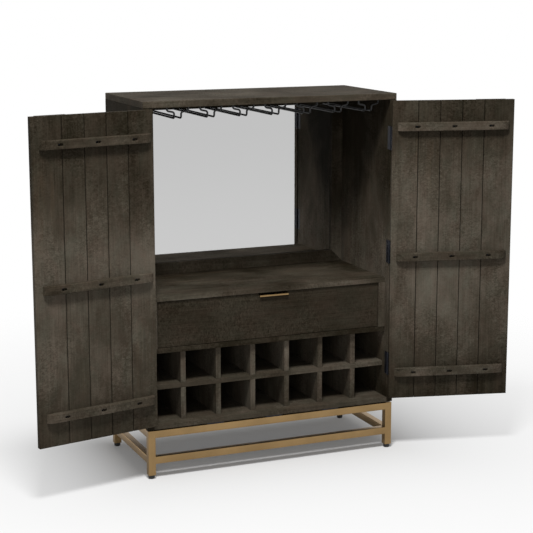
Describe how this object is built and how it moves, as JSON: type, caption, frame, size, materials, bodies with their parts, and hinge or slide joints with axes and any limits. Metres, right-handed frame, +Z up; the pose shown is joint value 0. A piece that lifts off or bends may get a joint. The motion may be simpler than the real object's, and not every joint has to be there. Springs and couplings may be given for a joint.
{
  "type": "wine cabinet",
  "caption": "Tall dark wood bar cabinet with plank doors, framed mirror, wire stemware racks, drawer and bottle cells on a square-tube brass base.",
  "frame": {"origin": "on the floor, under the middle of the case's footprint", "axes": "+X to the right seen from the front, +Y to the back, +Z up"},
  "size_m": [1.7117, 0.547, 1.268],
  "materials": {
    "dark_wood": "dark stained, satin",
    "drawer_wood": "dark stained, matt",
    "hardboard": "matt",
    "satin_brass": "satin, brushed",
    "mirror": "polished",
    "black_wire": "satin black",
    "hinge_steel": "blackened",
    "runner_steel": "zinc plated",
    "black_foot": "matt"
  },
  "bodies": {
    "cabinet": {"top_panel": "dark_wood", "left_side_panel": "dark_wood", "right_side_panel": "dark_wood", "bottom_panel": "dark_wood", "back_panel": "dark_wood", "counter_shelf": "dark_wood", "drawer_shelf": "dark_wood", "bottle_shelf": "dark_wood", "bottle_divider_1": "dark_wood", "bottle_divider_2": "dark_wood", "bottle_divider_3": "dark_wood", "bottle_divider_4": "dark_wood", "bottle_divider_5": "dark_wood", "bottle_divider_6": "dark_wood", "mirror_frame_bottom_rail": "dark_wood", "mirror_frame_top_rail": "dark_wood", "mirror_frame_left_stile": "dark_wood", "mirror_frame_right_stile": "dark_wood", "mirror_glass": "mirror", "mirror_backing": "hardboard", "stemware_rack_1": "black_wire", "stemware_rack_2": "black_wire", "stemware_rack_3": "black_wire", "stemware_rack_4": "black_wire", "stemware_rack_5": "black_wire", "stemware_rack_6": "black_wire", "stemware_rack_7": "black_wire", "drawer_runner_packers": "dark_wood", "drawer_case_runners": "runner_steel", "case_hinge_leaves": "hinge_steel", "hinge_pins": "hinge_steel", "base_top_rails": "satin_brass", "base_lower_rails": "satin_brass", "base_legs": "satin_brass", "base_mounting_plates": "satin_brass"},
    "left_door": {"left_door_boards": "dark_wood", "left_door_pull_board": "dark_wood", "left_door_top_batten": "dark_wood", "left_door_middle_batten": "dark_wood", "left_door_bottom_batten": "dark_wood", "left_door_hinge_leaves": "hinge_steel"},
    "right_door": {"right_door_boards": "dark_wood", "right_door_pull_board": "dark_wood", "right_door_top_batten": "dark_wood", "right_door_middle_batten": "dark_wood", "right_door_bottom_batten": "dark_wood", "right_door_hinge_leaves": "hinge_steel"},
    "drawer": {"drawer_front": "dark_wood", "drawer_left_side": "drawer_wood", "drawer_right_side": "drawer_wood", "drawer_back": "drawer_wood", "drawer_bottom": "drawer_wood", "drawer_pull": "satin_brass", "drawer_box_runners": "runner_steel"},
    "foot_front_left": {"levelling_foot_front_left": "black_foot"},
    "foot_front_right": {"levelling_foot_front_right": "black_foot"},
    "foot_rear_left": {"levelling_foot_rear_left": "black_foot"},
    "foot_rear_right": {"levelling_foot_rear_right": "black_foot"}
  },
  "joints": [
    {"name": "left_door_hinge", "type": "hinge", "parent": "cabinet", "child": "left_door", "pos_m": [-0.4345, -0.2107, 0.7175], "axis": [0, 0, -1], "range_deg": [-168, 12]},
    {"name": "right_door_hinge", "type": "hinge", "parent": "cabinet", "child": "right_door", "pos_m": [0.4345, -0.2107, 0.7175], "axis": [0, 0, 1], "range_deg": [-166, 14]},
    {"name": "drawer_slide", "type": "slide", "parent": "cabinet", "child": "drawer", "axis": [0, -1, 0], "range_m": [0, 0.25]},
    {"name": "foot_front_left_screw", "type": "slide", "parent": "cabinet", "child": "foot_front_left", "axis": [0, 0, -1], "range_m": [0, 0.012]},
    {"name": "foot_front_right_screw", "type": "slide", "parent": "cabinet", "child": "foot_front_right", "axis": [0, 0, -1], "range_m": [0, 0.012]},
    {"name": "foot_rear_left_screw", "type": "slide", "parent": "cabinet", "child": "foot_rear_left", "axis": [0, 0, -1], "range_m": [0, 0.012]},
    {"name": "foot_rear_right_screw", "type": "slide", "parent": "cabinet", "child": "foot_rear_right", "axis": [0, 0, -1], "range_m": [0, 0.012]}
  ]
}
